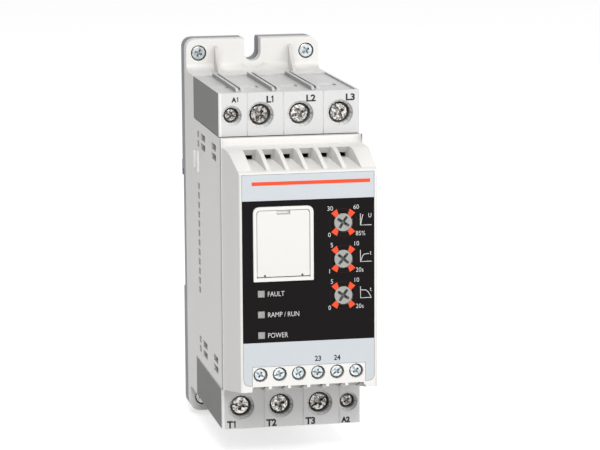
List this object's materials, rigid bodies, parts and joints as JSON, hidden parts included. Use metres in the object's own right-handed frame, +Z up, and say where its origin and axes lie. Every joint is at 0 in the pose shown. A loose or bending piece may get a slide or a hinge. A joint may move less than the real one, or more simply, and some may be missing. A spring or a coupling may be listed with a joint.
{
  "type": "soft starter",
  "caption": "Slim motor soft starter for a mounting rail or panel, with clamp terminals at both ends, slotted setting shafts, light pipes and a hinged service door.",
  "frame": {"origin": "on the rail seat, the floor of the rail recess, in the middle of the housing's width and on the rail's centre line", "axes": "+Z up along the housing's height, +Y out of the rail seat towards the wall, so the front faces -Y, +X to the right seen from the front"},
  "size_m": [0.045, 0.1078, 0.129],
  "materials": {
    "mounting_base": "matte moulded, fine grain",
    "body_shell": "satin moulded",
    "front_cover": "satin moulded",
    "service_door": "satin moulded",
    "control_terminal_block": "satin moulded",
    "upper_terminal_block": "satin moulded",
    "lower_terminal_block": "satin moulded",
    "front_label": "printed film, semi-gloss",
    "heat_sink": "extruded, plain",
    "power_board": "solder mask",
    "control_board": "solder mask",
    "thyristor_module_1": "moulded",
    "thyristor_module_2": "moulded",
    "bypass_relay_1": "moulded",
    "bypass_relay_2": "moulded",
    "board_link": "moulded",
    "signal_relay": "moulded",
    "service_socket": "moulded",
    "centre_bar": "plain copper alloy",
    "light_pipe_alarm": "clear smoked",
    "light_pipe_ramp": "clear smoked",
    "light_pipe_supply": "clear smoked",
    "base_screw_1": "zinc plated",
    "base_screw_2": "zinc plated",
    "base_screw_3": "zinc plated",
    "base_screw_4": "zinc plated",
    "adjuster_voltage": "satin moulded",
    "adjuster_ramp_up": "satin moulded",
    "adjuster_ramp_down": "satin moulded",
    "rail_latch": "matte moulded",
    "latch_spring": "drawn wire",
    "terminal_screw_A1": "zinc plated",
    "terminal_cage_A1": "zinc plated",
    "terminal_screw_L1": "zinc plated",
    "terminal_cage_L1": "zinc plated",
    "terminal_screw_L2": "zinc plated",
    "terminal_cage_L2": "zinc plated",
    "terminal_screw_L3": "zinc plated",
    "terminal_cage_L3": "zinc plated",
    "terminal_screw_T1": "zinc plated",
    "terminal_cage_T1": "zinc plated",
    "terminal_screw_T2": "zinc plated",
    "terminal_cage_T2": "zinc plated",
    "terminal_screw_T3": "zinc plated",
    "terminal_cage_T3": "zinc plated",
    "terminal_screw_A2": "zinc plated",
    "terminal_cage_A2": "zinc plated",
    "control_screw_1": "zinc plated",
    "control_cage_1": "zinc plated",
    "control_screw_2": "zinc plated",
    "control_cage_2": "zinc plated",
    "control_screw_3": "zinc plated",
    "control_cage_3": "zinc plated",
    "control_screw_4": "zinc plated",
    "control_cage_4": "zinc plated",
    "control_screw_5": "zinc plated",
    "control_cage_5": "zinc plated",
    "control_screw_6": "zinc plated",
    "control_cage_6": "zinc plated"
  },
  "bodies": {
    "housing": {"mounting_base": "mounting_base", "body_shell": "body_shell", "front_cover": "front_cover", "control_terminal_block": "control_terminal_block", "upper_terminal_block": "upper_terminal_block", "lower_terminal_block": "lower_terminal_block", "front_label": "front_label", "heat_sink": "heat_sink", "power_board": "power_board", "control_board": "control_board", "thyristor_module_1": "thyristor_module_1", "thyristor_module_2": "thyristor_module_2", "bypass_relay_1": "bypass_relay_1", "bypass_relay_2": "bypass_relay_2", "board_link": "board_link", "signal_relay": "signal_relay", "service_socket": "service_socket", "centre_bar": "centre_bar", "light_pipe_alarm": "light_pipe_alarm", "light_pipe_ramp": "light_pipe_ramp", "light_pipe_supply": "light_pipe_supply", "base_screw_1": "base_screw_1", "base_screw_2": "base_screw_2", "base_screw_3": "base_screw_3", "base_screw_4": "base_screw_4", "latch_spring": "latch_spring"},
    "door": {"service_door": "service_door"},
    "latch": {"rail_latch": "rail_latch"},
    "shaft_voltage": {"adjuster_voltage": "adjuster_voltage"},
    "shaft_ramp_up": {"adjuster_ramp_up": "adjuster_ramp_up"},
    "shaft_ramp_down": {"adjuster_ramp_down": "adjuster_ramp_down"},
    "screw_A1": {"terminal_screw_A1": "terminal_screw_A1"},
    "cage_A1": {"terminal_cage_A1": "terminal_cage_A1"},
    "screw_L1": {"terminal_screw_L1": "terminal_screw_L1"},
    "cage_L1": {"terminal_cage_L1": "terminal_cage_L1"},
    "screw_L2": {"terminal_screw_L2": "terminal_screw_L2"},
    "cage_L2": {"terminal_cage_L2": "terminal_cage_L2"},
    "screw_L3": {"terminal_screw_L3": "terminal_screw_L3"},
    "cage_L3": {"terminal_cage_L3": "terminal_cage_L3"},
    "screw_T1": {"terminal_screw_T1": "terminal_screw_T1"},
    "cage_T1": {"terminal_cage_T1": "terminal_cage_T1"},
    "screw_T2": {"terminal_screw_T2": "terminal_screw_T2"},
    "cage_T2": {"terminal_cage_T2": "terminal_cage_T2"},
    "screw_T3": {"terminal_screw_T3": "terminal_screw_T3"},
    "cage_T3": {"terminal_cage_T3": "terminal_cage_T3"},
    "screw_A2": {"terminal_screw_A2": "terminal_screw_A2"},
    "cage_A2": {"terminal_cage_A2": "terminal_cage_A2"},
    "control_screw_1": {"control_screw_1": "control_screw_1"},
    "control_cage_1": {"control_cage_1": "control_cage_1"},
    "control_screw_2": {"control_screw_2": "control_screw_2"},
    "control_cage_2": {"control_cage_2": "control_cage_2"},
    "control_screw_3": {"control_screw_3": "control_screw_3"},
    "control_cage_3": {"control_cage_3": "control_cage_3"},
    "control_screw_4": {"control_screw_4": "control_screw_4"},
    "control_cage_4": {"control_cage_4": "control_cage_4"},
    "control_screw_5": {"control_screw_5": "control_screw_5"},
    "control_cage_5": {"control_cage_5": "control_cage_5"},
    "control_screw_6": {"control_screw_6": "control_screw_6"},
    "control_cage_6": {"control_cage_6": "control_cage_6"}
  },
  "joints": [
    {"name": "door_hinge", "type": "hinge", "parent": "housing", "child": "door", "pos_m": [-0.00785, -0.1037, 0.00035], "axis": [1, 0, 0], "range_deg": [0, 100]},
    {"name": "latch_slide", "type": "slide", "parent": "housing", "child": "latch", "axis": [0, 0, -1], "range_m": [0, 0.0045], "stiffness_N_per_m": 800, "springref_m": -0.003, "deforming": ["latch_spring"]},
    {"name": "adjuster_voltage_turn", "type": "hinge", "parent": "housing", "child": "shaft_voltage", "pos_m": [0.01085, -0.104, 0.0154], "axis": [0, 1, 0], "range_deg": [-135, 135]},
    {"name": "adjuster_ramp_up_turn", "type": "hinge", "parent": "housing", "child": "shaft_ramp_up", "pos_m": [0.01085, -0.104, 0.00405], "axis": [0, 1, 0], "range_deg": [-135, 135]},
    {"name": "adjuster_ramp_down_turn", "type": "hinge", "parent": "housing", "child": "shaft_ramp_down", "pos_m": [0.01085, -0.104, -0.0073], "axis": [0, 1, 0], "range_deg": [-135, 135]},
    {"name": "screw_A1_turn", "type": "hinge", "parent": "housing", "child": "screw_A1", "pos_m": [-0.0184, -0.0723, 0.0454], "axis": [0, 1, 0], "range_deg": [0, 2160]},
    {"name": "cage_A1_slide", "type": "slide", "parent": "housing", "child": "cage_A1", "axis": [0, -1, 0], "range_m": [0, 0.0042]},
    {"name": "screw_L1_turn", "type": "hinge", "parent": "housing", "child": "screw_L1", "pos_m": [-0.0092, -0.0723, 0.0454], "axis": [0, 1, 0], "range_deg": [0, 2160]},
    {"name": "cage_L1_slide", "type": "slide", "parent": "housing", "child": "cage_L1", "axis": [0, -1, 0], "range_m": [0, 0.0042]},
    {"name": "screw_L2_turn", "type": "hinge", "parent": "housing", "child": "screw_L2", "pos_m": [0.0035, -0.0723, 0.0454], "axis": [0, 1, 0], "range_deg": [0, 2160]},
    {"name": "cage_L2_slide", "type": "slide", "parent": "housing", "child": "cage_L2", "axis": [0, -1, 0], "range_m": [0, 0.0042]},
    {"name": "screw_L3_turn", "type": "hinge", "parent": "housing", "child": "screw_L3", "pos_m": [0.0162, -0.0723, 0.0454], "axis": [0, 1, 0], "range_deg": [0, 2160]},
    {"name": "cage_L3_slide", "type": "slide", "parent": "housing", "child": "cage_L3", "axis": [0, -1, 0], "range_m": [0, 0.0042]},
    {"name": "screw_T1_turn", "type": "hinge", "parent": "housing", "child": "screw_T1", "pos_m": [-0.0162, -0.0723, -0.0479], "axis": [0, 1, 0], "range_deg": [0, 2160]},
    {"name": "cage_T1_slide", "type": "slide", "parent": "housing", "child": "cage_T1", "axis": [0, -1, 0], "range_m": [0, 0.0042]},
    {"name": "screw_T2_turn", "type": "hinge", "parent": "housing", "child": "screw_T2", "pos_m": [-0.0035, -0.0723, -0.0479], "axis": [0, 1, 0], "range_deg": [0, 2160]},
    {"name": "cage_T2_slide", "type": "slide", "parent": "housing", "child": "cage_T2", "axis": [0, -1, 0], "range_m": [0, 0.0042]},
    {"name": "screw_T3_turn", "type": "hinge", "parent": "housing", "child": "screw_T3", "pos_m": [0.0092, -0.0723, -0.0479], "axis": [0, 1, 0], "range_deg": [0, 2160]},
    {"name": "cage_T3_slide", "type": "slide", "parent": "housing", "child": "cage_T3", "axis": [0, -1, 0], "range_m": [0, 0.0042]},
    {"name": "screw_A2_turn", "type": "hinge", "parent": "housing", "child": "screw_A2", "pos_m": [0.0184, -0.0723, -0.0479], "axis": [0, 1, 0], "range_deg": [0, 2160]},
    {"name": "cage_A2_slide", "type": "slide", "parent": "housing", "child": "cage_A2", "axis": [0, -1, 0], "range_m": [0, 0.0042]},
    {"name": "control_screw_1_turn", "type": "hinge", "parent": "housing", "child": "control_screw_1", "pos_m": [-0.0152, -0.1031, -0.0312], "axis": [0, 1, 0], "range_deg": [0, 1800]},
    {"name": "control_cage_1_slide", "type": "slide", "parent": "housing", "child": "control_cage_1", "axis": [0, -1, 0], "range_m": [0, 0.00225]},
    {"name": "control_screw_2_turn", "type": "hinge", "parent": "housing", "child": "control_screw_2", "pos_m": [-0.0092, -0.1031, -0.0312], "axis": [0, 1, 0], "range_deg": [0, 1800]},
    {"name": "control_cage_2_slide", "type": "slide", "parent": "housing", "child": "control_cage_2", "axis": [0, -1, 0], "range_m": [0, 0.00225]},
    {"name": "control_screw_3_turn", "type": "hinge", "parent": "housing", "child": "control_screw_3", "pos_m": [-0.0032, -0.1031, -0.0312], "axis": [0, 1, 0], "range_deg": [0, 1800]},
    {"name": "control_cage_3_slide", "type": "slide", "parent": "housing", "child": "control_cage_3", "axis": [0, -1, 0], "range_m": [0, 0.00225]},
    {"name": "control_screw_4_turn", "type": "hinge", "parent": "housing", "child": "control_screw_4", "pos_m": [0.0028, -0.1031, -0.0312], "axis": [0, 1, 0], "range_deg": [0, 1800]},
    {"name": "control_cage_4_slide", "type": "slide", "parent": "housing", "child": "control_cage_4", "axis": [0, -1, 0], "range_m": [0, 0.00225]},
    {"name": "control_screw_5_turn", "type": "hinge", "parent": "housing", "child": "control_screw_5", "pos_m": [0.0088, -0.1031, -0.0312], "axis": [0, 1, 0], "range_deg": [0, 1800]},
    {"name": "control_cage_5_slide", "type": "slide", "parent": "housing", "child": "control_cage_5", "axis": [0, -1, 0], "range_m": [0, 0.00225]},
    {"name": "control_screw_6_turn", "type": "hinge", "parent": "housing", "child": "control_screw_6", "pos_m": [0.0148, -0.1031, -0.0312], "axis": [0, 1, 0], "range_deg": [0, 1800]},
    {"name": "control_cage_6_slide", "type": "slide", "parent": "housing", "child": "control_cage_6", "axis": [0, -1, 0], "range_m": [0, 0.00225]}
  ],
  "couplings": [
    {"joint": "screw_A1_turn", "follows": "cage_A1_slide", "rad_per_m": 8976},
    {"joint": "screw_L1_turn", "follows": "cage_L1_slide", "rad_per_m": 8976},
    {"joint": "screw_L2_turn", "follows": "cage_L2_slide", "rad_per_m": 8976},
    {"joint": "screw_L3_turn", "follows": "cage_L3_slide", "rad_per_m": 8976},
    {"joint": "screw_T1_turn", "follows": "cage_T1_slide", "rad_per_m": 8976},
    {"joint": "screw_T2_turn", "follows": "cage_T2_slide", "rad_per_m": 8976},
    {"joint": "screw_T3_turn", "follows": "cage_T3_slide", "rad_per_m": 8976},
    {"joint": "screw_A2_turn", "follows": "cage_A2_slide", "rad_per_m": 8976},
    {"joint": "control_screw_1_turn", "follows": "control_cage_1_slide", "rad_per_m": 13963},
    {"joint": "control_screw_2_turn", "follows": "control_cage_2_slide", "rad_per_m": 13963},
    {"joint": "control_screw_3_turn", "follows": "control_cage_3_slide", "rad_per_m": 13963},
    {"joint": "control_screw_4_turn", "follows": "control_cage_4_slide", "rad_per_m": 13963},
    {"joint": "control_screw_5_turn", "follows": "control_cage_5_slide", "rad_per_m": 13963},
    {"joint": "control_screw_6_turn", "follows": "control_cage_6_slide", "rad_per_m": 13963}
  ]
}
